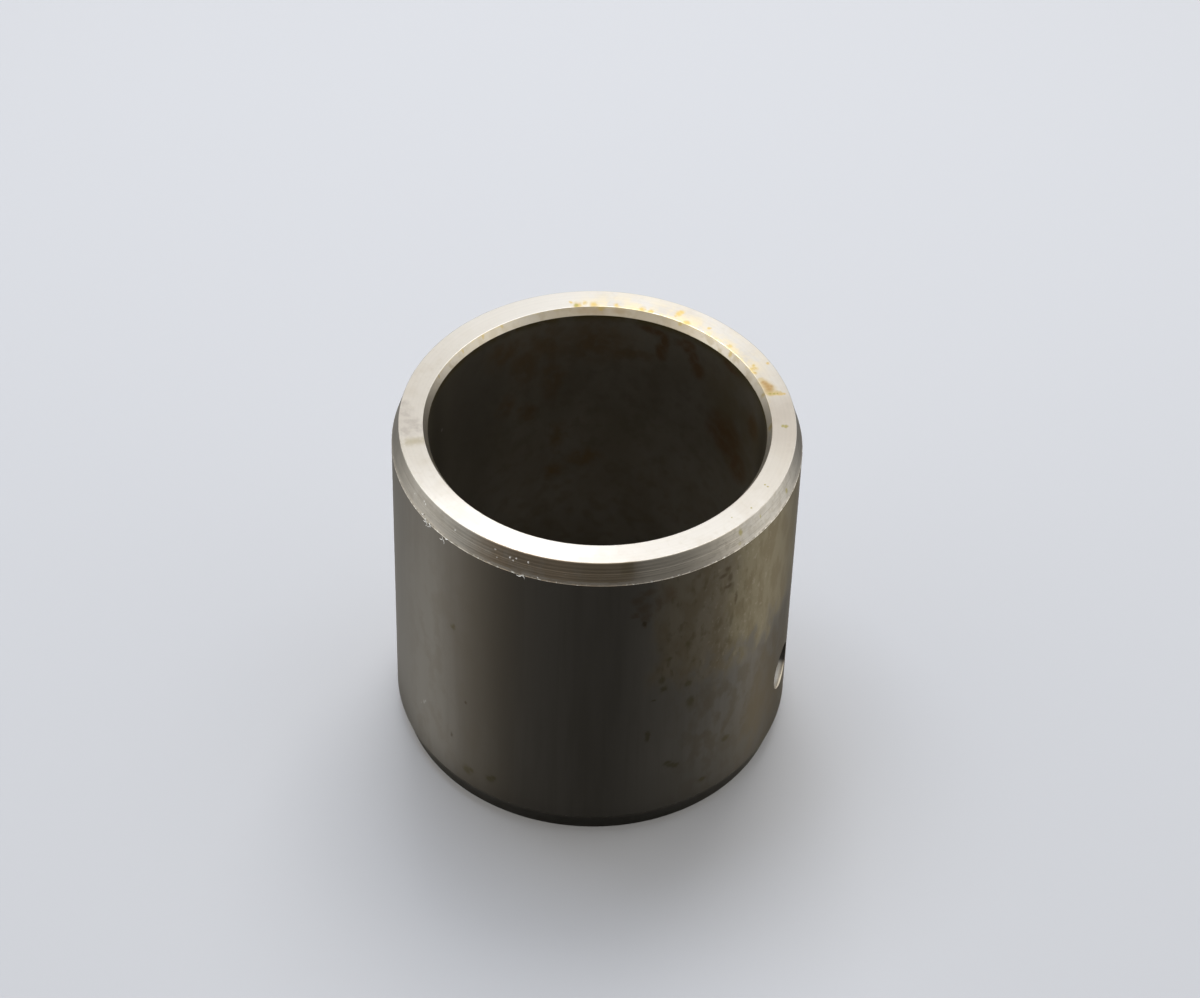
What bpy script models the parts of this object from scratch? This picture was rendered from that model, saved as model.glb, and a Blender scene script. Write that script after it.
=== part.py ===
"""A plain steel sleeve bushing with one radial grease hole, standing on its lower end face.

Metres, +Z up. The origin is the centre of the lower end face, +Z runs along the bore to the upper
end face, and the grease hole opens towards +X.
"""

import math

import bmesh
import bpy

OUTER_DIAMETER = 0.085
BORE_DIAMETER = 0.070
LENGTH = 0.080

# The long, shallow taper that guides each end of the sleeve into its housing.
LEAD_IN_LENGTH = 0.005
LEAD_IN_DEPTH = 0.0015

# The short chamfer that breaks each end of the bore. Its angle is from the sleeve's axis.
BORE_CHAMFER_DEPTH = 0.001
BORE_CHAMFER_ANGLE = math.radians(30.0)

GREASE_HOLE_DIAMETER = 0.010
GREASE_HOLE_HEIGHT = 0.020
GREASE_HOLE_DEBURR = 0.0003

TURNING_STEPS = 144
DRILLING_STEPS = 40
MERGE_DISTANCE = 0.00001
SHARP_ANGLE = math.radians(10.0)
CUTTER_OVERSHOOT = 0.003

OUTER_RADIUS = OUTER_DIAMETER / 2
BORE_RADIUS = BORE_DIAMETER / 2
BORE_CHAMFER_LENGTH = BORE_CHAMFER_DEPTH / math.tan(BORE_CHAMFER_ANGLE)

STEEL_COLOUR = (0.40, 0.38, 0.35, 1.0)
STEEL_ROUGHNESS = 0.32


def clear_scene():
    for obj in list(bpy.data.objects):
        bpy.data.objects.remove(obj, do_unlink=True)


def new_collection(name):
    collection = bpy.data.collections.new(name)
    bpy.context.scene.collection.children.link(collection)
    return collection


def steel_material():
    """Turned and ground steel with a film of oil."""
    material = bpy.data.materials.new("sleeve_steel")
    material.use_nodes = True
    shader = material.node_tree.nodes["Principled BSDF"]
    shader.inputs["Base Color"].default_value = STEEL_COLOUR
    shader.inputs["Metallic"].default_value = 1.0
    shader.inputs["Roughness"].default_value = STEEL_ROUGHNESS
    return material


def sleeve_section():
    """The wall's section as (radius, height): the top face, down the outer side, up the bore."""
    face_outer = OUTER_RADIUS - LEAD_IN_DEPTH
    face_inner = BORE_RADIUS + BORE_CHAMFER_DEPTH
    return [
        (face_inner, LENGTH),
        (face_outer, LENGTH),
        (OUTER_RADIUS, LENGTH - LEAD_IN_LENGTH),
        (OUTER_RADIUS, LEAD_IN_LENGTH),
        (face_outer, 0.0),
        (face_inner, 0.0),
        (BORE_RADIUS, BORE_CHAMFER_LENGTH),
        (BORE_RADIUS, LENGTH - BORE_CHAMFER_LENGTH),
        (face_inner, LENGTH),
    ]


def drill_section():
    """Half of a drill that points down, with a deburring cone where it enters the wall."""
    drill_radius = GREASE_HOLE_DIAMETER / 2
    back_end = OUTER_RADIUS + CUTTER_OVERSHOOT
    front_end = BORE_RADIUS - CUTTER_OVERSHOOT
    cone_start = OUTER_RADIUS - GREASE_HOLE_DEBURR
    return [
        (0.0, back_end),
        (drill_radius + back_end - cone_start, back_end),
        (drill_radius, cone_start),
        (drill_radius, front_end),
        (0.0, front_end),
    ]


def turned_object(name, section, steps, collection):
    """A section of (radius, height) points, turned about Z. A closed one ends where it starts."""
    shape = bmesh.new()
    closed = section[0] == section[-1]
    corners = [shape.verts.new((radius, 0.0, height)) for radius, height in section[closed:]]
    for corner, following in zip(corners, corners[1:]):
        shape.edges.new((corner, following))
    if closed:
        shape.edges.new((corners[-1], corners[0]))
    mesh = bpy.data.meshes.new(name)
    shape.to_mesh(mesh)
    shape.free()
    obj = bpy.data.objects.new(name, mesh)
    collection.objects.link(obj)
    screw = obj.modifiers.new("turning", "SCREW")
    screw.axis = "Z"
    screw.angle = math.tau
    screw.steps = steps
    screw.render_steps = steps
    screw.use_merge_vertices = True
    screw.merge_threshold = MERGE_DISTANCE
    return obj


def grease_hole_cutter(collection):
    """The drill, turned on its side so that it enters the wall from +X."""
    cutter = turned_object("grease_hole_cutter", drill_section(), DRILLING_STEPS, collection)
    cutter.rotation_euler = (0.0, math.radians(90.0), 0.0)
    cutter.location = (0.0, 0.0, GREASE_HOLE_HEIGHT)
    cutter.hide_render = True
    cutter.display_type = "WIRE"
    return cutter


def cut(obj, cutter):
    boolean = obj.modifiers.new(cutter.name, "BOOLEAN")
    boolean.operation = "DIFFERENCE"
    boolean.solver = "EXACT"
    boolean.object = cutter


def settle(obj):
    """Make the modifiers' result the object's own mesh, smooth except at its machined edges."""
    graph = bpy.context.evaluated_depsgraph_get()
    settled = bpy.data.meshes.new_from_object(obj.evaluated_get(graph))
    obj.modifiers.clear()
    obj.data = settled
    settled.name = obj.name
    settled.shade_smooth()
    settled.set_sharp_from_angle(angle=SHARP_ANGLE)


def main():
    clear_scene()
    parts = new_collection("sleeve_bushing")
    cutters = new_collection("cutters")
    sleeve = turned_object("bushing_sleeve", sleeve_section(), TURNING_STEPS, parts)
    cut(sleeve, grease_hole_cutter(cutters))
    settle(sleeve)
    sleeve.data.materials.append(steel_material())


main()
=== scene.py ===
"""The looks of a steel sleeve bushing: one turned and ground tube with a radial grease hole.

Metres, in the CAD's frame: +Z along the bore, the grease hole towards +X. An azimuth is counted from -Y
towards +X, in degrees. A place on the sleeve is (azimuth, height or radius in millimetres, ...).
"""

import math
import random

import bmesh
import bpy
from mathutils import Matrix, Vector


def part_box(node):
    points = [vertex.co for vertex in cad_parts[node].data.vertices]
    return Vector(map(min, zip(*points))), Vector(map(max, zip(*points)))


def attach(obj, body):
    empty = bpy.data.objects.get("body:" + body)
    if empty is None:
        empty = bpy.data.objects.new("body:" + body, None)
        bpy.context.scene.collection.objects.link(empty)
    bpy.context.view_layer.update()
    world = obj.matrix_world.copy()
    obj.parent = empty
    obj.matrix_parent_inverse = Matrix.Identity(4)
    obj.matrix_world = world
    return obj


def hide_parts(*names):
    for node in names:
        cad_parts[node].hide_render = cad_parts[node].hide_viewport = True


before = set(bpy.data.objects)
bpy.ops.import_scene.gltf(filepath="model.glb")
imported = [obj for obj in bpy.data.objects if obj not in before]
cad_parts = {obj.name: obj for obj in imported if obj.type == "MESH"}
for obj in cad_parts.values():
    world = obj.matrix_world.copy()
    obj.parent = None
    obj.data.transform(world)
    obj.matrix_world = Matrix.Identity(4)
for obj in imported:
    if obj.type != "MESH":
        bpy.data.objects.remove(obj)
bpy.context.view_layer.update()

MM = 0.001
NODE = "bushing_sleeve"
SEED = 7

# The sleeve, as the CAD has it.
low_corner, high_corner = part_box(NODE)
LENGTH = high_corner.z - low_corner.z
OUTER_RADIUS = high_corner.x
WALL = 7.5 * MM
BORE_RADIUS = OUTER_RADIUS - WALL
LEAD_IN_LENGTH = 5.0 * MM
LEAD_IN_DEPTH = 1.5 * MM
BORE_CHAMFER_DEPTH = 1.0 * MM
BORE_CHAMFER_LENGTH = BORE_CHAMFER_DEPTH / math.tan(math.radians(30.0))
FACE_OUTER_RADIUS = OUTER_RADIUS - LEAD_IN_DEPTH
FACE_INNER_RADIUS = BORE_RADIUS + BORE_CHAMFER_DEPTH
HOLE_RADIUS = 5.0 * MM
HOLE_HEIGHT = 20.0 * MM
HOLE_DEBURR = 0.3 * MM

# Where the camera stands and looks: angles in degrees, lengths in metres, the lens in millimetres.
CAMERA_AZIMUTH = 15.03
CAMERA_ELEVATION = 44.32
CAMERA_DISTANCE = 0.7418
CAMERA_AIM = Vector((0.9 * MM, 0.3 * MM, 57.7 * MM))
CAMERA_ROLL = 1.74
CAMERA_LENS = 105.8


def around(azimuth, radius, height):
    """The point at this azimuth, in degrees."""
    angle = math.radians(azimuth)
    return Vector((radius * math.sin(angle), -radius * math.cos(angle), height))


# ---------------------------------------------------------------- shape

TURNING_STEPS = 360
EDGE_ROUNDING = 0.14 * MM
LIP_ROUNDING = 0.02 * MM
LIP_DEPTH = 0.06 * MM
LIP_LENGTH = 0.08 * MM
STEP_DEPTH = 0.012 * MM
EDGE_STEPS = 3
GROOVE_PITCH = 0.45 * MM
GROOVE_DEPTH = 0.012 * MM
DRILL_STEPS = 96
DRILL_OVERSHOOT = 3.0 * MM
INNER_CONE_CLEARANCE = 0.1 * MM
SHARP_ANGLE = math.radians(24.0)
ZONES = ("end_face", "lead_in", "outside", "bore_chamfer", "bore", "hole_wall", "burr")


def sleeve_section():
    """The wall's section. A corner is a radius, height, rounding and the zone of the side that follows."""
    bottom = low_corner.z
    top = bottom + LENGTH
    lip = OUTER_RADIUS - LIP_DEPTH
    half_way = (FACE_OUTER_RADIUS + lip) / 2
    middle = LEAD_IN_LENGTH / 2
    return [
        (FACE_INNER_RADIUS, top, EDGE_ROUNDING, "end_face"),
        (FACE_OUTER_RADIUS, top, EDGE_ROUNDING, "lead_in"),
        (half_way, top - middle, LIP_ROUNDING, "lead_in"),
        (half_way + STEP_DEPTH, top - middle - 2 * STEP_DEPTH, LIP_ROUNDING, "lead_in"),
        (lip, top - LEAD_IN_LENGTH + LIP_LENGTH, LIP_ROUNDING, "lead_in"),
        (OUTER_RADIUS, top - LEAD_IN_LENGTH, LIP_ROUNDING, "outside"),
        (OUTER_RADIUS, bottom + LEAD_IN_LENGTH, LIP_ROUNDING, "lead_in"),
        (lip, bottom + LEAD_IN_LENGTH - LIP_LENGTH, LIP_ROUNDING, "lead_in"),
        (FACE_OUTER_RADIUS, bottom, EDGE_ROUNDING, "end_face"),
        (FACE_INNER_RADIUS, bottom, EDGE_ROUNDING, "bore_chamfer"),
        (BORE_RADIUS, bottom + BORE_CHAMFER_LENGTH, EDGE_ROUNDING, "bore"),
        (BORE_RADIUS, top - BORE_CHAMFER_LENGTH, EDGE_ROUNDING, "bore_chamfer"),
    ]


def rounded_corner(before, corner, after, rounding):
    """Points of a small arc in place of the corner between two sides."""
    back = (before - corner).normalized()
    ahead = (after - corner).normalized()
    half = back.angle(ahead) / 2
    centre = corner + (back + ahead).normalized() * rounding / math.sin(half)
    first = corner + back * rounding / math.tan(half) - centre
    last = corner + ahead * rounding / math.tan(half) - centre
    turn = first.angle_signed(last)
    turns = [-turn * step / EDGE_STEPS for step in range(EDGE_STEPS + 1)]
    return [centre + Matrix.Rotation(angle, 2) @ first for angle in turns]


def turning_grooves(start, end, chance):
    """Points from start to end, cut a little into the steel as a lathe tool leaves them."""
    along = end - start
    inward = Vector((along.y, -along.x)).normalized()
    if inward.x > 0:
        inward.negate()
    count = int(along.length / GROOVE_PITCH)
    points = []
    for index in range(1, 2 * count):
        depth = GROOVE_DEPTH * chance.uniform(0.2, 1.0) if index % 2 else 0.0
        points.append(start + along * (index / (2 * count)) + inward * depth)
    return points


def rounded_section(section, chance):
    """The section with rounded corners and grooved lead-ins, as points and the zone after each."""
    corners = [Vector((radius, height)) for radius, height, _, _ in section]
    arcs = []
    for index, (_, _, rounding, _) in enumerate(section):
        following = corners[(index + 1) % len(corners)]
        arcs.append(rounded_corner(corners[index - 1], corners[index], following, rounding))
    points, sides = [], []
    for index, (_, _, _, zone) in enumerate(section):
        arc = arcs[index]
        zone_before = section[index - 1][3]
        arc_zone = zone if zone in ("end_face", "lead_in") else zone_before
        points += arc
        sides += [arc_zone] * (len(arc) - 1) + [zone]
        if zone == "lead_in":
            grooves = turning_grooves(arc[-1], arcs[(index + 1) % len(arcs)][0], chance)
            points += grooves
            sides += [zone] * len(grooves)
    return points, sides


def turned_mesh(name, points, sides, steps):
    """A closed section turned about Z, each side with its zone's material index."""
    shape = bmesh.new()
    rings = []
    for point in points:
        ring = []
        for step in range(steps):
            ring.append(shape.verts.new(around(90.0 - 360.0 * step / steps, point.x, point.y)))
        rings.append(ring)
    for index, ring in enumerate(rings):
        following = rings[(index + 1) % len(rings)]
        for step in range(steps):
            after = (step + 1) % steps
            face = shape.faces.new((ring[step], ring[after], following[after], following[step]))
            face.material_index = ZONES.index(sides[index])
            face.smooth = True
    bmesh.ops.recalc_face_normals(shape, faces=shape.faces[:])
    mesh = bpy.data.meshes.new(name)
    shape.to_mesh(mesh)
    shape.free()
    return mesh


def drill_cutter():
    """A drill along X with a deburring cone where it enters the outside."""
    steps = DRILL_STEPS
    back_end = OUTER_RADIUS + DRILL_OVERSHOOT
    cone_start = OUTER_RADIUS - HOLE_DEBURR
    inner_cone_start = BORE_RADIUS - INNER_CONE_CLEARANCE
    section = [
        (back_end, HOLE_RADIUS + back_end - cone_start),
        (cone_start, HOLE_RADIUS),
        (inner_cone_start, HOLE_RADIUS),
        (BORE_RADIUS - DRILL_OVERSHOOT, HOLE_RADIUS + DRILL_OVERSHOOT - INNER_CONE_CLEARANCE),
    ]
    shape = bmesh.new()
    rings = []
    for along, radius in section:
        ring = []
        for step in range(steps):
            angle = math.tau * step / steps
            across = radius * math.cos(angle)
            height = HOLE_HEIGHT + radius * math.sin(angle)
            ring.append(shape.verts.new((along, across, height)))
        rings.append(ring)
    for ring, following in zip(rings, rings[1:]):
        for step in range(steps):
            after = (step + 1) % steps
            shape.faces.new((ring[step], ring[after], following[after], following[step]))
    shape.faces.new(rings[0])
    shape.faces.new(rings[-1])
    for face in shape.faces:
        face.smooth = True
        face.material_index = ZONES.index("hole_wall")
    bmesh.ops.recalc_face_normals(shape, faces=shape.faces[:])
    mesh = bpy.data.meshes.new("drill_cutter")
    shape.to_mesh(mesh)
    shape.free()
    return bpy.data.objects.new("drill_cutter", mesh)


def apply_modifiers(obj):
    graph = bpy.context.evaluated_depsgraph_get()
    settled = bpy.data.meshes.new_from_object(obj.evaluated_get(graph))
    obj.modifiers.clear()
    obj.data = settled


# Curls of swarf left on the upper lip: azimuth, height, radius, length, and how far round each bends.
BURRS = (
    (-39.2, 74.5, 42.54, 1.7, 170.0),
    (-38.2, 74.9, 42.54, 1.6, -150.0),
    (-37.2, 74.1, 42.57, 1.5, 110.0),
    (-36.6, 75.3, 42.50, 1.1, -80.0),
    (-40.4, 75.6, 42.42, 1.0, 90.0),
    (-31.8, 73.8, 42.57, 1.7, 140.0),
    (-30.6, 74.2, 42.56, 1.3, -100.0),
    (-29.6, 74.9, 42.54, 0.9, 60.0),
    (-6.0, 74.8, 42.50, 1.6, 120.0),
    (-4.6, 75.0, 42.46, 1.3, -110.0),
    (-1.2, 74.8, 42.34, 1.4, 140.0),
    (-0.2, 75.5, 42.30, 0.9, -80.0),
)
BURR_RADIUS = 0.13 * MM
BURR_STEPS = 8


def add_burr(shape, azimuth, height, radius, length, bend, chance):
    """One thin curved sliver that lies on the lip, closed at both ends."""
    seat = around(azimuth, radius * MM, height * MM)
    out = around(azimuth, 1.0, 0.0)
    side = around(azimuth + 90.0, 1.0, 0.0)
    lift = Vector((0.0, 0.0, 1.0))
    heading = math.radians(chance.uniform(-35.0, 35.0))
    step_length = length * MM / BURR_STEPS
    spot = seat.copy()
    rings = []
    for step in range(BURR_STEPS + 1):
        angle = heading + math.radians(bend) * step / BURR_STEPS
        tangent = side * math.cos(angle) + lift * math.sin(angle)
        across = out.cross(tangent)
        thickness = BURR_RADIUS * (1.0 - 0.6 * abs(2 * step / BURR_STEPS - 1))
        ring = []
        for corner in range(4):
            turn = math.tau * corner / 4
            offset = (across * math.cos(turn) + out * math.sin(turn)) * thickness
            ring.append(shape.verts.new(spot + offset))
        rings.append(ring)
        spot = spot + tangent * step_length
    faces = [shape.faces.new(reversed(rings[0])), shape.faces.new(rings[-1])]
    for ring, following in zip(rings, rings[1:]):
        for corner in range(4):
            after = (corner + 1) % 4
            faces.append(shape.faces.new((ring[corner], ring[after], following[after], following[corner])))
    for face in faces:
        face.material_index = ZONES.index("burr")


def add_burrs(mesh):
    chance = random.Random(SEED)
    shape = bmesh.new()
    for azimuth, height, radius, length, bend in BURRS:
        add_burr(shape, azimuth, height, radius, length, bend, chance)
    bmesh.ops.recalc_face_normals(shape, faces=shape.faces[:])
    shape.from_mesh(mesh)
    shape.to_mesh(mesh)
    shape.free()


def sleeve_piece(materials):
    """The sleeve with rounded edges, grooved lead-ins, its drilled hole and a few burrs."""
    points, sides = rounded_section(sleeve_section(), random.Random(SEED))
    mesh = turned_mesh("sleeve", points, sides, TURNING_STEPS)
    sleeve = bpy.data.objects.new("sleeve", mesh)
    bpy.context.scene.collection.objects.link(sleeve)
    cutter = drill_cutter()
    bpy.context.scene.collection.objects.link(cutter)
    for zone in ZONES:
        sleeve.data.materials.append(materials[zone])
        cutter.data.materials.append(materials[zone])
    cut = sleeve.modifiers.new("hole", "BOOLEAN")
    cut.operation = "DIFFERENCE"
    cut.solver = "EXACT"
    cut.object = cutter
    apply_modifiers(sleeve)
    bpy.data.objects.remove(cutter)
    sleeve.data.shade_smooth()
    sleeve.data.set_sharp_from_angle(angle=SHARP_ANGLE)
    add_burrs(sleeve.data)
    weighted = sleeve.modifiers.new("normals", "WEIGHTED_NORMAL")
    weighted.keep_sharp = True
    apply_modifiers(sleeve)
    return sleeve


# ---------------------------------------------------------------- materials

class Graph:
    """A node tree. A method adds nodes and returns the output of the last."""

    def __init__(self, owner):
        owner.use_nodes = True
        self.nodes = owner.node_tree.nodes
        self.links = owner.node_tree.links

    def add(self, kind, inputs=(), **settings):
        node = self.nodes.new("ShaderNode" + kind)
        for name, value in settings.items():
            setattr(node, name, value)
        for socket, value in zip(node.inputs, inputs):
            self.feed(socket, value)
        return node

    def feed(self, socket, value):
        if isinstance(value, bpy.types.NodeSocket):
            self.links.new(value, socket)
        else:
            socket.default_value = value

    def math(self, operation, *values):
        return self.add("Math", values, operation=operation).outputs[0]

    def vector(self, operation, *values):
        outputs = self.add("VectorMath", values, operation=operation).outputs
        return outputs["Value"] if operation in ("LENGTH", "DISTANCE", "DOT_PRODUCT") else outputs["Vector"]

    def ramp(self, value, start, end, low=0.0, high=1.0):
        """low at start to high at end, smoothly, and level beyond them."""
        node = self.add("MapRange", (value, start, end, low, high), interpolation_type="SMOOTHSTEP")
        return node.outputs["Result"]

    def mix(self, factor, first, second):
        """A colour between first and second."""
        node = self.add("Mix", data_type="RGBA")
        self.feed(node.inputs[0], factor)
        self.feed(node.inputs[6], first)
        self.feed(node.inputs[7], second)
        return node.outputs[2]

    def blend(self, factor, first, second):
        """A number between first and second."""
        node = self.add("Mix", data_type="FLOAT")
        self.feed(node.inputs[0], factor)
        self.feed(node.inputs[2], first)
        self.feed(node.inputs[3], second)
        return node.outputs[0]

    def noise(self, vector, scale, detail=2.0, roughness=0.5, output="Fac"):
        node = self.add("TexNoise")
        self.feed(node.inputs["Vector"], vector)
        self.feed(node.inputs["Scale"], scale)
        self.feed(node.inputs["Detail"], detail)
        self.feed(node.inputs["Roughness"], roughness)
        return node.outputs[output]


class Surface(Graph):
    """azimuth is in degrees from -90 to 270, and radius and height are in millimetres.
    """

    def __init__(self, name, colour, roughness, anisotropy=0.0):
        self.material = bpy.data.materials.new(name)
        super().__init__(self.material)
        self.shader = self.nodes["Principled BSDF"]
        self.colour = self.add("RGB").outputs[0]
        self.colour.default_value = colour
        self.roughness, self.metallic = roughness, 1.0
        metres = self.add("TexCoord").outputs["Object"]
        self.place = self.vector("SCALE", metres, (0.0, 0.0, 0.0), (0.0, 0.0, 0.0), 1 / MM)
        split = self.add("SeparateXYZ", (self.place,)).outputs
        self.along_x, self.height = split["X"], split["Z"]
        self.radius = self.vector("LENGTH", self.vector("MULTIPLY", self.place, (1.0, 1.0, 0.0)))
        turn = self.math("ARCTAN2", split["Y"], split["X"])
        self.azimuth = self.math("MULTIPLY_ADD", turn, 180.0 / math.pi, 90.0)
        if anisotropy:
            tangent = self.add("Tangent", direction_type="RADIAL", axis="Z").outputs["Tangent"]
            self.feed(self.shader.inputs["Tangent"], tangent)
            self.shader.inputs["Anisotropic"].default_value = anisotropy
            self.shader.inputs["Anisotropic Rotation"].default_value = 0.25

    def grain(self, size, detail=3.0, around=1.0, along=1.0, roughness=0.55):
        """Noise with features of this size in millimetres, drawn out around the axis or along it."""
        vector = self.vector("MULTIPLY", self.place, (1 / around, 1 / around, 1 / along))
        return self.noise(vector, 1 / size, detail, roughness)

    def rings(self, value, size, detail=2.0):
        """Noise that changes with one value only."""
        return self.noise(self.add("CombineXYZ", (value, 0.0, 0.0)).outputs[0], 1 / size, detail)

    def between(self, value, start, end, soft):
        """1 from start to end and 0 beyond, with edges this soft."""
        rise = self.ramp(value, start - soft, start + soft)
        return self.math("MULTIPLY", rise, self.ramp(value, end + soft, end - soft))

    def sector(self, middle, half_width, soft):
        """1 within half_width degrees of this azimuth and 0 beyond, with edges this soft."""
        heading = self.vector("DOT_PRODUCT", self.place, tuple(around(middle, 1.0, 0.0)))
        inside = math.cos(math.radians(max(half_width - soft, 0.0)))
        outside = math.cos(math.radians(half_width + soft))
        return self.ramp(self.math("DIVIDE", heading, self.radius), outside, inside)

    def spots(self, places, ragged=0.35, grain=1.1, soft=0.3):
        """1 inside the places and 0 outside. A place is a centre, a half width and a half height."""
        wobble = self.noise(self.place, 1 / grain, 3.0, 0.6, output="Color")
        shift = self.vector("MULTIPLY_ADD", wobble, (2 * ragged,) * 3, (-ragged,) * 3)
        moved = self.vector("ADD", self.place, shift)
        nearest = None
        for centre, half_width, half_height in places:
            scale = Vector((1 / half_width, 1 / half_width, 1 / half_height))
            offset = tuple(-c * s for c, s in zip(centre, scale))
            distance = self.vector("LENGTH", self.vector("MULTIPLY_ADD", moved, tuple(scale), offset))
            nearest = distance if nearest is None else self.math("MINIMUM", nearest, distance)
        return self.ramp(nearest, 1.0 + soft, 1.0 - soft)

    def times(self, *masks):
        product = masks[0]
        for mask in masks[1:]:
            product = self.math("MULTIPLY", product, mask)
        return product

    def coat(self, mask, colour, amount=1.0, roughness=None, metallic=None):
        """Paints over what is there, where the mask is 1."""
        covered = self.math("MULTIPLY", mask, amount)
        self.colour = self.mix(covered, self.colour, (*colour, 1.0))
        if roughness is not None:
            self.roughness = self.blend(covered, self.roughness, roughness)
        if metallic is not None:
            self.metallic = self.blend(covered, self.metallic, metallic)

    def shade(self, factor):
        """Scales the colour."""
        self.colour = self.vector("SCALE", self.colour, (0.0, 0.0, 0.0), (0.0, 0.0, 0.0), factor)

    def finish(self, height=None, depth=0.0):
        """The material, with a bump this deep in millimetres where a height is given."""
        self.feed(self.shader.inputs["Base Color"], self.colour)
        self.feed(self.shader.inputs["Roughness"], self.roughness)
        self.feed(self.shader.inputs["Metallic"], self.metallic)
        if height is not None:
            node = self.add("Bump")
            self.feed(node.inputs["Height"], height)
            self.feed(node.inputs["Distance"], depth * MM)
            self.feed(self.shader.inputs["Normal"], node.outputs["Normal"])
        return self.material


def on_wall(radius, marks):
    """(azimuth, height, half width, half height) on a wall of this radius, as places."""
    return [(around(azimuth, radius / MM, height), wide, high) for azimuth, height, wide, high in marks]


def on_top(marks):
    """(azimuth, radius, half width) on the upper end face, as places."""
    return [(around(azimuth, radius, LENGTH / MM), wide, 3 * wide) for azimuth, radius, wide in marks]


AMBER = (0.56, 0.39, 0.11)
RUST = (0.36, 0.21, 0.07)
OLIVE = (0.34, 0.29, 0.08)
UMBER = (0.16, 0.11, 0.06)
TAN = (0.49, 0.415, 0.255)
DUST = (0.85, 0.84, 0.80)

# Marks on the upper end face: azimuth in degrees, radius and half width in millimetres.
FACE_AMBER = (
    (169.5, 38.2, 0.75), (168.9, 38.9, 0.55), (169.8, 37.3, 0.3), (121.0, 36.9, 0.6), (120.7, 37.5, 0.55),
    (120.4, 38.1, 0.5), (120.2, 38.7, 0.45), (120.0, 39.3, 0.4), (119.8, 39.9, 0.3), (133.6, 36.8, 0.7),
    (131.6, 36.5, 0.4), (135.2, 37.3, 0.4), (134.0, 40.4, 0.35), (157.5, 37.8, 0.35), (147.0, 36.6, 0.5),
    (165.0, 36.5, 0.6), (181.0, 36.6, 0.7), (178.0, 36.5, 0.5), (190.0, 36.6, 0.6), (197.5, 36.6, 0.8),
    (203.0, 36.5, 0.9), (200.5, 37.2, 0.5), (205.0, 37.4, 0.4),
)
FACE_STAIN = (
    (121.4, 37.2, 1.0), (123.0, 37.3, 1.35), (124.8, 37.1, 1.3), (126.4, 36.9, 1.0), (127.8, 36.7, 0.7),
    (121.0, 38.4, 0.7), (120.6, 39.2, 0.5), (122.2, 36.6, 0.9),
)
FACE_RUST = (
    (123.0, 37.3, 0.8), (124.4, 37.2, 0.8), (125.6, 37.1, 0.6), (124.0, 38.0, 0.45), (126.6, 36.8, 0.4),
)
FACE_OLIVE = (
    (120.8, 37.0, 0.3), (120.6, 37.8, 0.28), (120.4, 38.5, 0.22), (105.4, 38.8, 0.45), (105.6, 38.1, 0.35),
    (78.0, 39.0, 0.22), (78.4, 38.3, 0.2), (67.6, 39.5, 0.2), (60.6, 38.5, 0.16), (-156.5, 36.5, 0.5),
)
FACE_SMUDGE = (
    (-80.0, 40.3, 1.1), (-76.5, 39.8, 1.8), (-72.0, 38.4, 2.0), (-68.5, 39.4, 1.7), (-70.0, 37.0, 1.4),
)
FACE_GREY = ((95.0, 40.3, 0.8), (97.0, 39.6, 0.6), (111.0, 38.6, 1.6), (114.5, 40.2, 1.1), (108.0, 36.8, 0.9))


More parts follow.
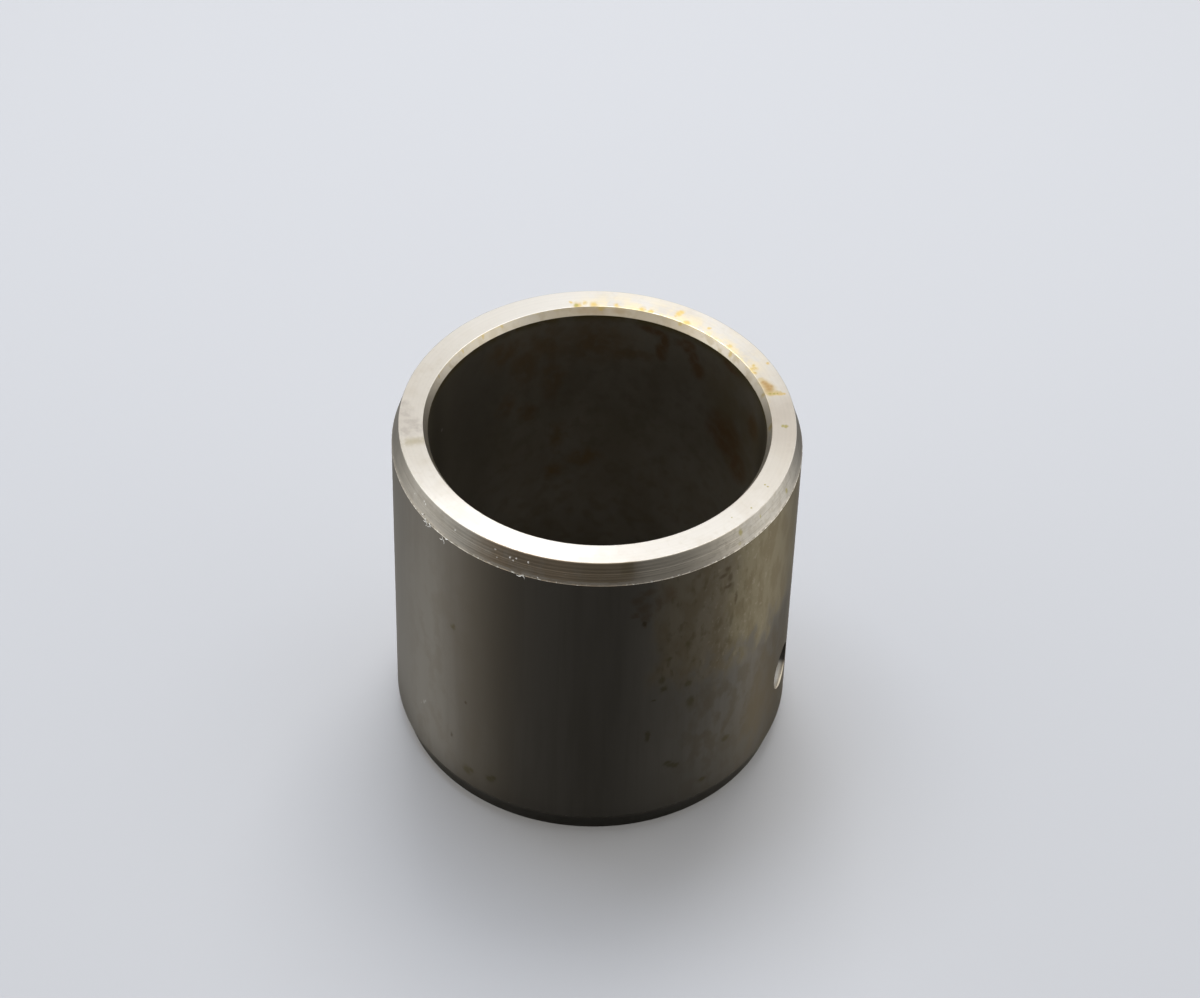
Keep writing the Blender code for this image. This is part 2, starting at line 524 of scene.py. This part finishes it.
def end_face_material():
    """Faced on a lathe: bright, with faint rings, amber and rust marks at the back, and a grey smudge."""
    s = Surface("faced_steel", (0.67, 0.62, 0.54, 1.0), 0.30, anisotropy=0.65)
    s.coat(s.ramp(s.grain(7.0, 4.0), 0.42, 0.68), (0.61, 0.55, 0.46), 0.8)
    s.coat(s.ramp(s.grain(1.4, 3.0), 0.52, 0.72), (0.58, 0.52, 0.42), 0.35)
    warm = s.times(s.between(s.azimuth, 132.0, 202.0, 9.0), s.ramp(s.radius, 40.5, 36.0, 0.2, 1.0))
    s.coat(s.times(warm, s.ramp(s.grain(3.0), 0.35, 0.6)), (0.80, 0.67, 0.42), 0.9)
    edge = s.times(s.between(s.azimuth, 116.0, 206.0, 5.0), s.ramp(s.radius, 36.75, 36.2))
    s.coat(s.times(edge, s.ramp(s.grain(1.6, 4.0), 0.46, 0.62)), (0.68, 0.54, 0.25), 0.6, 0.4)
    smudge = s.spots(on_top(FACE_SMUDGE), ragged=1.0, grain=2.2, soft=0.6)
    s.coat(s.times(smudge, s.ramp(s.grain(1.3, 4.0), 0.3, 0.65, 0.35, 1.0)), (0.46, 0.41, 0.35), 0.85, 0.36)
    s.coat(s.spots(on_top(FACE_GREY), ragged=0.9, grain=1.8, soft=0.6), (0.49, 0.44, 0.36), 0.6, 0.34)
    wiped = s.between(s.azimuth, -65.0, -62.2, 1.4)
    s.coat(s.times(wiped, s.ramp(s.grain(1.5), 0.3, 0.55)), (0.46, 0.40, 0.27), 0.7)
    s.coat(s.between(s.azimuth, 94.0, 118.0, 6.0), (0.53, 0.465, 0.385), 0.75)
    s.coat(s.sector(86.0, 8.0, 8.0), (0.60, 0.54, 0.45), 0.6)
    # Painted highlight: lighter round azimuth -136.
    s.coat(s.sector(-136.0, 22.0, 10.0), (0.72, 0.675, 0.60), 0.7)
    amber = s.spots(on_top(FACE_AMBER), ragged=0.6, grain=1.6, soft=0.8)
    s.coat(s.times(amber, s.ramp(s.grain(1.5), 0.3, 0.5, 0.65, 1.0)), AMBER, 0.9, 0.4)
    s.coat(s.spots(on_top(FACE_STAIN), ragged=0.45, grain=1.8, soft=0.6), (0.52, 0.40, 0.20), 0.8, 0.4)
    s.coat(s.spots(on_top(FACE_RUST), ragged=0.35, grain=1.2, soft=0.9), RUST, 0.85, 0.45)
    s.coat(s.spots(on_top(FACE_OLIVE), ragged=0.25, soft=0.5), OLIVE, 0.85, 0.4)
    s.shade(s.ramp(s.rings(s.radius, 0.5), 0.3, 0.7, 0.975, 1.02))
    return s.finish()


# Marks on a wall: azimuth in degrees, then height, half width and half height in millimetres.
LEAD_IN_DUST = (
    (-41.0, 78.3, 0.22, 0.3), (-40.2, 78.0, 0.2, 0.2), (-38.0, 77.0, 0.2, 0.3), (-27.0, 78.0, 0.2, 0.25),
    (-13.0, 78.7, 0.2, 0.25), (-12.3, 77.0, 0.26, 0.22), (-8.5, 78.0, 0.22, 0.22), (-7.5, 77.6, 0.2, 0.22),
    (-3.0, 78.2, 0.22, 0.22), (-13.2, 78.6, 0.18, 0.2), (-6.6, 78.3, 0.18, 0.22), (7.6, 77.0, 0.2, 0.22),
    (-36.8, 76.2, 0.3, 0.3), (45.0, 77.2, 0.16, 0.16),
    (-46.0, 77.5, 0.16, 0.2), (-38.4, 75.8, 0.3, 0.3), (-5.4, 75.5, 0.3, 0.2),
)
LEAD_IN_OLIVE = (
    (60.0, 78.5, 0.5, 0.9), (59.0, 75.8, 0.5, 0.7),
    (68.5, 78.6, 0.3, 0.6), (46.0, 76.4, 0.3, 0.3), (83.0, 77.0, 0.5, 0.6),
)
TOOL_MARKS = (75.7, 76.35, 77.3, 78.1)


def lead_in_material():
    """Turned with a coarser feed, so it shows rings, over a broken bright lip where it meets the outside. The
    lip and the land above it are partly bare metal and partly a painted edge highlight, and the upper right
    is painted lighter as a painted highlight.
    """
    s = Surface("turned_steel", (0.52, 0.485, 0.42, 1.0), 0.33, anisotropy=0.35)
    half = LENGTH / MM / 2
    from_end = s.math("SUBTRACT", half, s.math("ABSOLUTE", s.math("SUBTRACT", s.height, half)))
    upper = s.ramp(s.height, half - 1, half + 1)
    s.coat(s.ramp(s.grain(2.6, 4.0, along=0.8), 0.42, 0.66), (0.44, 0.40, 0.335), 0.7)
    oiled = s.times(upper, s.between(s.azimuth, -18.0, 27.0, 7.0))
    oiled = s.times(oiled, s.ramp(s.grain(4.0, 4.0), 0.25, 0.5, 0.55, 1.0))
    s.coat(oiled, (0.40, 0.305, 0.205), 0.85)
    s.coat(s.times(upper, s.sector(-60.0, 8.0, 8.0)), (0.46, 0.42, 0.35), 0.5)
    s.coat(s.times(upper, s.sector(18.0, 6.0, 4.0)), (0.32, 0.255, 0.175), 0.45)
    # Painted highlight: lighter round azimuth 88 on the upper lead-in.
    s.coat(s.times(upper, s.sector(88.0, 9.0, 6.0)), (0.62, 0.575, 0.495), 0.6)
    s.coat(s.times(upper, s.between(s.azimuth, 10.0, 27.0, 4.0)), (0.34, 0.275, 0.19), 0.55)
    # Painted highlight: lighter from azimuth 28.5 to 60 on the upper lead-in.
    s.coat(s.times(upper, s.between(s.azimuth, 28.5, 60.0, 3.0)), (0.62, 0.56, 0.46), 0.8)
    mottled = s.times(upper, s.between(s.azimuth, 50.0, 90.0, 8.0), s.ramp(s.grain(1.5, 4.0), 0.48, 0.62))
    s.coat(mottled, (0.42, 0.375, 0.30), 0.5)
    streak = s.times(s.sector(24.4, 1.0, 1.4), s.ramp(s.height, 75.8, 78.0))
    s.coat(streak, (0.27, 0.22, 0.13), 0.5)
    lined = s.ramp(s.rings(s.height, 0.4), 0.35, 0.65, 0.8, 1.14)
    s.shade(s.blend(s.times(upper, s.sector(5.0, 30.0, 12.0)), 1.0, lined))
    feed = s.rings(from_end, 0.5, 3.0)
    worn = s.ramp(s.grain(6.0, 3.0), 0.35, 0.65)
    s.shade(s.blend(worn, 1.0, s.ramp(feed, 0.32, 0.68, 0.86, 1.08)))
    for mark in TOOL_MARKS:
        line = s.between(s.height, mark - 0.05, mark + 0.05, 0.05)
        seen = s.ramp(s.grain(3.5, 3.0, along=0.5), 0.42, 0.6)
        s.coat(s.times(line, seen), (0.24, 0.21, 0.17), 0.6)
    olive = s.spots(on_wall(OUTER_RADIUS - 0.8 * MM, LEAD_IN_OLIVE), soft=0.5)
    s.coat(olive, OLIVE, 0.7, 0.4)
    # Partly painted highlight: the land and the broken lip are painted lighter, partly bare metal and burrs,
    # partly an edge highlight.
    land = s.between(from_end, LEAD_IN_LENGTH / MM - 0.75, LEAD_IN_LENGTH / MM - 0.1, 0.12)
    s.coat(s.times(land, s.ramp(s.grain(3.0, 3.0, along=0.3), 0.38, 0.55, 0.3, 1.0)), (0.66, 0.60, 0.51), 0.7)
    lip = s.between(from_end, LEAD_IN_LENGTH / MM - 0.3, LEAD_IN_LENGTH / MM + 0.3, 0.05)
    s.coat(s.times(lip, s.ramp(s.grain(1.1, 3.0), 0.46, 0.56)), (0.30, 0.27, 0.22), 0.85, 0.45)
    s.coat(s.times(lip, s.ramp(s.grain(0.8, 3.0), 0.56, 0.66)), (0.85, 0.83, 0.76), 0.7, 0.5)
    dust = s.spots(on_wall(OUTER_RADIUS - 0.9 * MM, LEAD_IN_DUST), ragged=0.3, grain=0.35)
    s.coat(dust, DUST, 0.75, 0.6, 0.3)
    return s.finish(feed, 0.004)


OUTSIDE_OLIVE = (
    (-27.0, 50.5, 0.6, 0.6), (-26.6, 51.0, 0.4, 0.4), (31.8, 29.4, 0.55, 1.0), (31.9, 28.4, 0.45, 0.9),
    (38.2, 19.0, 0.8, 0.6), (39.4, 18.2, 0.9, 0.6), (40.6, 17.6, 0.9, 0.6), (-14.0, 10.1, 0.9, 0.8),
    (-12.9, 10.8, 0.6, 0.6), (-22.0, 9.2, 1.0, 1.1), (-20.6, 9.8, 0.6, 0.6), (50.0, 9.4, 0.9, 0.7),
    (35.4, 45.4, 0.6, 1.0), (36.0, 42.6, 0.7, 0.7), (43.4, 42.0, 0.8, 0.8), (44.6, 36.2, 0.8, 1.4),
    (37.2, 51.2, 0.7, 0.4), (42.6, 54.2, 0.5, 0.7), (33.2, 39.8, 0.35, 0.3), (58.0, 18.5, 1.1, 0.8),
)
OUTSIDE_UMBER = (
    (-22.4, 30.0, 0.35, 0.45), (-28.0, 17.0, 0.35, 0.7), (29.6, 63.2, 0.5, 0.7), (55.2, 66.0, 1.1, 0.5),
    (55.8, 68.2, 0.6, 1.0), (53.2, 69.8, 0.9, 0.5), (54.6, 71.2, 0.6, 0.7), (58.4, 61.0, 0.4, 1.6),
)
OUTSIDE_RUST = (
    (30.2, 72.0, 1.6, 0.9), (27.8, 70.2, 1.3, 1.2), (29.4, 67.6, 1.5, 1.6), (30.0, 65.0, 0.9, 1.4),
    (26.8, 66.0, 0.8, 0.7), (36.4, 70.4, 1.3, 2.2), (33.4, 68.6, 0.8, 2.0), (29.7, 63.0, 0.6, 0.9),
)
OUTSIDE_DUST = ((-41.0, 19.0, 0.3, 0.5), (-40.2, 19.8, 0.2, 0.3), (-42.6, 17.6, 0.15, 0.3))


def brown_left_side(s):
    """Paler low on the left as a painted reflection, browned towards the front, with a few clouds."""
    browned = s.times(s.between(s.azimuth, -28.0, -3.0, 8.0), s.ramp(s.height, 20.0, 45.0, 0.3, 1.0))
    s.coat(browned, (0.42, 0.36, 0.28), 0.5)
    # Painted reflection: the lower left is painted lighter.
    pale = s.times(s.between(s.azimuth, -66.0, -31.0, 7.0), s.ramp(s.height, 82.0, 44.0))
    s.coat(pale, (0.56, 0.525, 0.455), 0.6)
    s.coat(s.sector(-15.0, 4.0, 7.0), (0.385, 0.33, 0.25), 0.5)
    cloud = s.times(s.between(s.azimuth, -48.0, -10.0, 8.0), s.ramp(s.height, 74.0, 62.0))
    s.coat(s.times(cloud, s.ramp(s.grain(5.0, 4.0, along=1.6), 0.44, 0.62)), (0.40, 0.345, 0.265), 0.4)


def brown_lower_right(s):
    """Darker and warmer below the middle on the right and near the foot as painted shade, with a mottled
    stain there.
    """
    # Painted shade: darker and warmer below the middle on the right.
    lower = s.times(s.ramp(s.height, 34.0, 18.0), s.between(s.azimuth, 58.0, 100.0, 8.0))
    s.coat(lower, (0.40, 0.345, 0.26), 0.7)
    warm = s.times(s.between(s.azimuth, 42.0, 90.0, 10.0), s.ramp(s.height, 46.0, 34.0))
    s.coat(s.times(warm, s.ramp(s.grain(2.8, 5.0, along=1.6), 0.42, 0.62)), (0.34, 0.27, 0.165), 0.5)
    # Painted shade: darker near the foot on the right.
    foot = s.times(s.between(s.azimuth, 32.0, 86.0, 10.0), s.ramp(s.height, 22.0, 12.0))
    s.coat(foot, (0.365, 0.33, 0.27), 0.5)


def wash_and_back(s, azimuth, height, upper):
    """A tan wash that fades out round the right side, faint stains behind, and a brown band by the hole."""
    wash = s.times(upper, s.ramp(azimuth, 48.0, 60.0), s.ramp(azimuth, 108.0, 76.0))
    s.coat(wash, TAN, 0.85, 0.38)
    s.coat(s.times(wash, s.ramp(s.grain(2.6, 5.0, along=2.6), 0.43, 0.62)), (0.385, 0.31, 0.185), 0.75)
    back = s.sector(185.0, 75.0, 25.0)
    s.coat(s.times(back, s.ramp(s.grain(9.0, 5.0, along=1.6), 0.47, 0.64)), (0.42, 0.355, 0.25), 0.55)
    s.coat(s.times(back, s.ramp(s.grain(2.2, 5.0, along=2.2), 0.56, 0.66)), (0.37, 0.30, 0.19), 0.45)
    sides = s.times(s.ramp(azimuth, 61.0, 71.0), s.ramp(azimuth, 104.0, 74.0))
    band = s.times(sides, s.between(height, 12.0, 36.0, 6.0))
    s.coat(s.times(band, s.ramp(s.grain(4.0, 4.0, along=3.0), 0.3, 0.6, 0.5, 1.0)), (0.40, 0.32, 0.20), 0.9)


def drips_and_flecks(s, azimuth, upper):
    """A stained zone with dark drips and pale flecks, high on the right of the front."""
    zone = s.times(upper, s.between(azimuth, 33.5, 56.0, 3.5))
    s.coat(zone, (0.47, 0.395, 0.275), 0.8, 0.35)
    patches = s.ramp(s.grain(4.5, 4.0, along=2.2, roughness=0.55), 0.42, 0.66)
    s.coat(s.times(zone, patches), (0.36, 0.285, 0.175), 0.6)
    drips = s.ramp(s.grain(1.5, 4.0, along=2.4, roughness=0.55), 0.52, 0.70)
    s.coat(s.times(upper, s.between(azimuth, 34.0, 66.0, 5.0), drips), (0.28, 0.225, 0.13), 0.55)
    flecks = s.ramp(s.grain(1.0, 3.0, along=1.5), 0.58, 0.68)
    s.coat(s.times(upper, s.between(azimuth, 46.0, 74.0, 5.0), flecks), (0.64, 0.56, 0.41), 0.5)


def outside_spots(s):
    rust = s.spots(on_wall(OUTER_RADIUS, OUTSIDE_RUST), ragged=1.3, grain=1.3, soft=0.8)
    s.coat(rust, (0.32, 0.22, 0.12), 0.55)
    halo = s.spots(on_wall(OUTER_RADIUS, OUTSIDE_OLIVE), ragged=1.0, soft=1.8)
    s.coat(halo, (0.33, 0.28, 0.17), 0.4)
    olive = s.spots(on_wall(OUTER_RADIUS, OUTSIDE_OLIVE), ragged=0.5, soft=0.6)
    s.coat(olive, (0.26, 0.22, 0.11), 0.6)
    s.coat(s.spots(on_wall(OUTER_RADIUS, OUTSIDE_UMBER), ragged=0.5, soft=0.6), UMBER, 0.55)
    s.coat(s.spots(on_wall(OUTER_RADIUS, OUTSIDE_DUST), ragged=0.2, soft=0.5), DUST, 0.5, 0.4, 0.8)


def outside_material():
    """Ground all round, then handled: faint upright bands, a mottled brown stain, drips and spots, with a
    painted reflection low on the left and painted shade low on the right.
    """
    s = Surface("ground_steel", (0.475, 0.435, 0.37, 1.0), 0.30, anisotropy=0.5)
    s.coat(s.ramp(s.grain(5.0, 3.0, along=9.0), 0.38, 0.66), (0.41, 0.37, 0.31), 0.7)
    s.coat(s.ramp(s.grain(1.0, 3.0, along=40.0), 0.45, 0.75), (0.38, 0.34, 0.275), 0.3)
    brown_left_side(s)
    brown_lower_right(s)
    drift = s.grain(7.0, 4.0, along=1.8)
    azimuth = s.math("MULTIPLY_ADD", drift, 16.0, s.math("SUBTRACT", s.azimuth, 8.0))
    lift = s.grain(3.2, 4.0, along=1.5)
    height = s.math("MULTIPLY_ADD", lift, 26.0, s.math("SUBTRACT", s.height, 13.0))
    upper = s.ramp(height, 37.0, 50.0)
    wash_and_back(s, azimuth, height, upper)
    drips_and_flecks(s, azimuth, upper)
    outside_spots(s)
    return s.finish()


CHAMFER_AMBER = (
    (121.5, 79.2, 0.6, 0.9), (136.0, 78.9, 0.4, 0.8), (144.5, 79.0, 0.6, 1.0), (167.0, 79.4, 0.5, 0.7),
    (195.0, 79.6, 0.7, 0.4), (106.0, 79.2, 0.9, 0.9), (231.0, 79.0, 0.4, 0.9), (239.0, 79.2, 0.4, 0.9),
    (214.0, 78.8, 0.5, 0.5), (249.0, 79.0, 0.4, 0.9), (264.0, 79.3, 0.4, 0.8), (180.0, 78.8, 0.4, 0.5),
)
CHAMFER_BROWN = (
    (196.0, 79.1, 1.8, 0.8), (201.0, 79.2, 1.8, 0.8), (205.5, 78.8, 0.5, 0.8), (189.0, 79.3, 1.6, 0.6),
)


def bore_chamfer_material():
    """Turned, with tones that change round the ring, painted highlights near azimuths 106 and 280, amber
    marks and a tarnished outer edge.
    """
    s = Surface("chamfer_steel", (0.55, 0.50, 0.415, 1.0), 0.33, anisotropy=0.25)
    s.coat(s.ramp(s.grain(1.8, 5.0), 0.42, 0.64), (0.43, 0.37, 0.265), 0.85)
    s.coat(s.between(s.azimuth, 158.0, 216.0, 6.0), (0.50, 0.42, 0.30), 0.6)
    s.coat(s.between(s.azimuth, 218.0, 250.0, 8.0), (0.47, 0.42, 0.33), 0.6)
    # Painted highlights: lighter round azimuths 106 and 280.
    s.coat(s.sector(106.0, 20.0, 10.0), (0.80, 0.735, 0.615), 0.8)
    s.coat(s.sector(280.0, 18.0, 8.0), (0.64, 0.585, 0.49), 0.6)
    brown = s.spots(on_wall(FACE_INNER_RADIUS, CHAMFER_BROWN), ragged=0.5, soft=0.5)
    s.coat(brown, (0.42, 0.32, 0.20), 0.6)
    amber = s.spots(on_wall(FACE_INNER_RADIUS, CHAMFER_AMBER), ragged=0.5, soft=0.6)
    s.coat(amber, (0.50, 0.37, 0.11), 0.8, 0.4)
    edge = s.times(s.between(s.azimuth, 100.0, 270.0, 8.0), s.ramp(s.radius, 35.7, 35.95))
    s.coat(s.times(edge, s.ramp(s.grain(1.3, 4.0), 0.44, 0.62)), (0.60, 0.48, 0.22), 0.5)
    return s.finish()


BORE_RUST = (
    (158.0, 69.8, 1.7, 2.2), (160.0, 72.4, 1.3, 2.2), (163.0, 75.0, 2.2, 1.6), (172.8, 70.6, 1.3, 2.2),
    (171.4, 74.0, 1.0, 2.4), (142.5, 76.4, 2.4, 1.0), (126.0, 68.0, 2.6, 3.2), (142.5, 56.5, 5.6, 5.6),
    (136.0, 52.0, 3.6, 4.6), (176.0, 76.0, 3.0, 0.9),
)
BORE_BROWN = (
    (186.0, 68.2, 5.5, 1.6), (197.0, 70.6, 7.0, 4.5), (214.0, 71.0, 4.5, 4.5), (222.0, 66.5, 3.0, 5.0),
    (230.0, 72.5, 4.2, 3.4), (212.0, 61.0, 2.2, 5.0), (230.0, 57.0, 1.8, 2.8), (220.5, 52.2, 1.6, 2.6),
    (210.0, 43.5, 1.6, 3.4), (200.0, 36.8, 3.0, 2.0), (210.5, 33.4, 1.8, 1.8),
)
BORE_DUST = ((265.0, 65.0, 0.35, 0.35),)


def bore_material():
    """Dull with old oil, with soft brown blotches and drips from the upper edge, and painted lighter low down
    and darker high up as painted light and shade.
    """
    s = Surface("oiled_bore_steel", (0.21, 0.185, 0.145, 1.0), 0.42, anisotropy=0.2)
    s.metallic = 0.78
    s.coat(s.ramp(s.grain(11.0, 4.0, along=1.4), 0.35, 0.65), (0.175, 0.15, 0.11), 0.8)
    s.coat(s.ramp(s.grain(3.0, 4.0), 0.45, 0.7), (0.15, 0.125, 0.085), 0.5)
    olive = s.times(s.between(s.azimuth, 100.0, 152.0, 10.0), s.ramp(s.height, 44.0, 60.0))
    s.coat(s.times(olive, s.ramp(s.grain(9.0), 0.3, 0.6)), (0.155, 0.12, 0.06), 0.7)
    s.coat(s.sector(275.0, 38.0, 14.0), (0.12, 0.105, 0.08), 0.7)
    s.coat(s.sector(287.0, 20.0, 8.0), (0.07, 0.06, 0.04), 0.8)
    s.coat(s.sector(104.0, 14.0, 6.0), (0.08, 0.065, 0.04), 0.8)
    stained = s.times(s.ramp(s.height, 76.2, 78.0), s.ramp(s.grain(2.4, 4.0), 0.35, 0.55, 0.4, 1.0))
    s.coat(stained, (0.13, 0.10, 0.03), 0.8)
    faint = s.spots(on_wall(BORE_RADIUS, BORE_BROWN), ragged=2.4, grain=4.0, soft=0.9)
    s.coat(s.times(faint, s.ramp(s.grain(2.4, 4.0), 0.3, 0.62, 0.3, 1.0)), (0.16, 0.10, 0.04), 0.7)
    rust = s.spots(on_wall(BORE_RADIUS, BORE_RUST), ragged=1.3, grain=3.0, soft=0.5)
    s.coat(s.times(rust, s.ramp(s.grain(2.0, 4.0), 0.3, 0.6, 0.45, 1.0)), (0.14, 0.075, 0.028), 0.8)
    s.coat(s.spots(on_wall(BORE_RADIUS, BORE_DUST)), DUST, 0.3)
    # Painted light and shade: lighter deep in the bore and darker near its top, evening out how light falls
    # inside.
    s.shade(s.ramp(s.height, 18.0, 68.0, 1.9, 0.8))
    return s.finish()


def hole_wall_material():
    """Drilled and bright, with the upper half of the hole painted dark as painted shade."""
    s = Surface("drilled_steel", (0.82, 0.775, 0.69, 1.0), 0.48)
    s.metallic = 0.7
    feed = s.rings(s.along_x, 0.6)
    s.shade(s.ramp(feed, 0.3, 0.7, 0.85, 1.05))
    middle = HOLE_HEIGHT / MM
    s.coat(s.ramp(s.along_x, 41.3, 42.2), (0.44, 0.37, 0.26), 0.75)
    # Painted shade: the upper half of the hole wall, which faces down, is painted near-black.
    painted_shade_above = s.ramp(s.height, middle - 3.8, middle - 2.3)
    s.coat(painted_shade_above, (0.03, 0.028, 0.022), 0.95)
    return s.finish()


def burr_material():
    """Loose bright swarf."""
    s = Surface("swarf", (0.90, 0.88, 0.82, 1.0), 0.4)
    s.metallic = 0.15
    return s.finish()


def sleeve_materials():
    return {
        "end_face": end_face_material(),
        "lead_in": lead_in_material(),
        "outside": outside_material(),
        "bore_chamfer": bore_chamfer_material(),
        "bore": bore_material(),
        "hole_wall": hole_wall_material(),
        "burr": burr_material(),
    }


# ---------------------------------------------------------------- studio

FLOOR_SIZE = 12.0
COVE = (0.2, 0.8)
FLOOR_COLOUR = (0.45, 0.45, 0.455, 1.0)
BACKDROP = (0.62, 0.63, 0.65, 1.0)
CONTACT_SHADE = (OUTER_RADIUS - 1 * MM, OUTER_RADIUS + 8 * MM)
CONTACT_SHADE_LEVEL = 0.03

# What the steel sees. Up is -1 to 1 from straight down to straight up, front is 1 towards the camera's
# side of the tent and -1 away from it, and right is 1 on the right of that side.
HORIZON = (-0.27, 0.38)
SIDE_PANEL_DROP = (0.33, 0.50)
SIDE_PANEL_TURN = (0.85, -0.2)
SIDE_PANEL_BACK_SHARE = 0.6
SKY_FRONT = 0.75
SKY_SIDE = 1.5
SKY_BACK = 0.74
SKY_BALANCE = (1.2, 1.1)
GROUND_FRONT = 0.024
GROUND_SIDE = 0.24
GROUND_TURN = (0.9, -0.35)
GROUND_BALANCE = (1.12, 0.42)
GROUND_BACK_SHARE = 0.55
GROUND_GLOW = 0.028
FLOOR_SHARE = 0.45

SOFTBOX_COLOUR = (0.92, 1.0, 1.16)
WHITE = (1.0, 1.0, 1.0)


def studio_floor():
    """A plain pale floor. The steel sees through it to the tent, and only a painted contact shade round the
    sleeve's foot on it.
    """
    shape = bmesh.new()
    bmesh.ops.create_grid(shape, x_segments=1, y_segments=1, size=FLOOR_SIZE / 2)
    mesh = bpy.data.meshes.new("studio_floor")
    shape.to_mesh(mesh)
    shape.free()
    floor = bpy.data.objects.new("studio_floor", mesh)
    bpy.context.scene.collection.objects.link(floor)
    floor.location.z = low_corner.z
    material = bpy.data.materials.new("pale_floor")
    mesh.materials.append(material)
    g = Graph(material)
    g.nodes.clear()
    place = g.vector("MULTIPLY", g.add("TexCoord").outputs["Object"], (1.0, 1.0, 0.0))
    # Painted shade: a dark ring round the foot that only the steel's reflections see.
    shade = g.ramp(g.vector("LENGTH", place), *CONTACT_SHADE, CONTACT_SHADE_LEVEL, 1.0)
    pale = g.add("BsdfDiffuse", (FLOOR_COLOUR,)).outputs[0]
    rays = g.add("LightPath").outputs
    cove = g.math("MULTIPLY", g.ramp(g.vector("LENGTH", place), *COVE), rays["Is Camera Ray"])
    pale = g.add("MixShader", (cove, pale, g.add("Emission", (BACKDROP, 1.0)).outputs[0])).outputs[0]
    clear = g.add("BsdfTransparent", (shade,)).outputs[0]
    both = g.add("MixShader", (rays["Is Glossy Ray"], pale, clear)).outputs[0]
    g.feed(g.add("OutputMaterial").inputs["Surface"], both)


def area_light(name, azimuth, elevation, distance, size, power, colour=WHITE):
    """A softbox aimed at the sleeve: angles in degrees, lengths in metres, power in watts."""
    light = bpy.data.lights.new(name, "AREA")
    light.shape = "RECTANGLE"
    light.size, light.size_y = size
    light.energy = power
    light.color = colour
    obj = bpy.data.objects.new(name, light)
    back = around(azimuth, math.cos(math.radians(elevation)), math.sin(math.radians(elevation)))
    obj.location = Vector((0.0, 0.0, LENGTH / 2)) + back * distance
    obj.rotation_mode = "QUATERNION"
    obj.rotation_quaternion = back.to_track_quat("Z", "Y")
    bpy.context.scene.collection.objects.link(obj)
    return obj


def studio_world():
    """A pale tent: light all round above the horizon, lower at the sides, and dim below it in front."""
    world = bpy.data.worlds.new("studio")
    bpy.context.scene.world = world
    g = Graph(world)
    g.nodes.clear()
    direction = g.add("TexCoord").outputs["Generated"]
    level = g.vector("NORMALIZE", g.vector("MULTIPLY", direction, (1.0, 1.0, 0.0)))
    up = g.add("SeparateXYZ", (direction,)).outputs["Z"]
    front = g.vector("DOT_PRODUCT", level, tuple(around(CAMERA_AZIMUTH, 1.0, 0.0)))
    right = g.vector("DOT_PRODUCT", level, tuple(around(CAMERA_AZIMUTH + 90.0, 1.0, 0.0)))
    beside = g.math("MULTIPLY", right, right)
    drop = g.math("MULTIPLY", g.ramp(front, *SIDE_PANEL_TURN), g.ramp(right, -0.7, 0.7, *SIDE_PANEL_DROP))
    drop = g.math("MULTIPLY", drop, g.ramp(front, -0.3, -0.9, 1.0, SIDE_PANEL_BACK_SHARE))
    above = g.ramp(g.math("ADD", up, drop), *HORIZON)
    ground = g.ramp(front, *GROUND_TURN, GROUND_FRONT, GROUND_SIDE)
    ground = g.math("MULTIPLY", ground, g.ramp(right, -0.7, 0.7, *GROUND_BALANCE))
    ground = g.math("MULTIPLY", ground, g.ramp(front, -0.2, -0.9, 1.0, GROUND_BACK_SHARE))
    glow = g.math("MULTIPLY", g.ramp(right, 0.2, 0.65), g.ramp(front, -0.2, 0.2, 0.0, GROUND_GLOW))
    ground = g.math("ADD", ground, glow)
    sky = g.blend(g.ramp(front, -0.2, 0.2), SKY_BACK, SKY_FRONT)
    sky = g.blend(g.ramp(beside, 0.3, 0.95), sky, SKY_SIDE)
    sky = g.math("MULTIPLY", sky, g.ramp(right, -0.7, 0.7, *SKY_BALANCE))
    strength = g.blend(above, ground, sky)
    rays = g.add("LightPath").outputs
    strength = g.math("MULTIPLY", strength, g.blend(rays["Is Diffuse Ray"], 1.0, FLOOR_SHARE))
    tent = g.add("Background", ((1.0, 1.0, 1.0, 1.0), strength)).outputs[0]
    backdrop = g.add("Background", (BACKDROP, 1.0)).outputs[0]
    both = g.add("MixShader", (rays["Is Camera Ray"], tent, backdrop)).outputs[0]
    g.feed(g.add("OutputWorld").inputs["Surface"], both)


def studio_camera():
    data = bpy.data.cameras.new("camera")
    data.sensor_width = 36.0
    data.lens = CAMERA_LENS
    data.clip_start = 0.01
    data.clip_end = 50.0
    camera = bpy.data.objects.new("camera", data)
    elevation = math.radians(CAMERA_ELEVATION)
    back = around(CAMERA_AZIMUTH, math.cos(elevation), math.sin(elevation))
    camera.location = CAMERA_AIM + back * CAMERA_DISTANCE
    camera.rotation_mode = "QUATERNION"
    level = (-back).to_track_quat("-Z", "Y")
    roll = Matrix.Rotation(math.radians(CAMERA_ROLL), 3, "Z").to_quaternion()
    camera.rotation_quaternion = level @ roll
    bpy.context.scene.collection.objects.link(camera)
    bpy.context.scene.camera = camera


def main():
    studio_camera()
    studio_floor()
    studio_world()
    area_light("left_softbox", CAMERA_AZIMUTH + 216.0, 69.0, 1.0, (0.5, 0.5), 4.2, SOFTBOX_COLOUR)
    area_light("right_softbox", CAMERA_AZIMUTH + 142.0, 66.0, 1.0, (0.7, 0.7), 1.9, SOFTBOX_COLOUR)
    shadow_light = area_light("floor_softbox", CAMERA_AZIMUTH + 172.0, 58.0, 1.2, (0.6, 0.6), 8.0)
    shadow_light.visible_glossy = False
    bpy.context.scene.view_settings.view_transform = "Standard"
    sleeve = sleeve_piece(sleeve_materials())
    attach(sleeve, "root")
    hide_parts(NODE)


main()
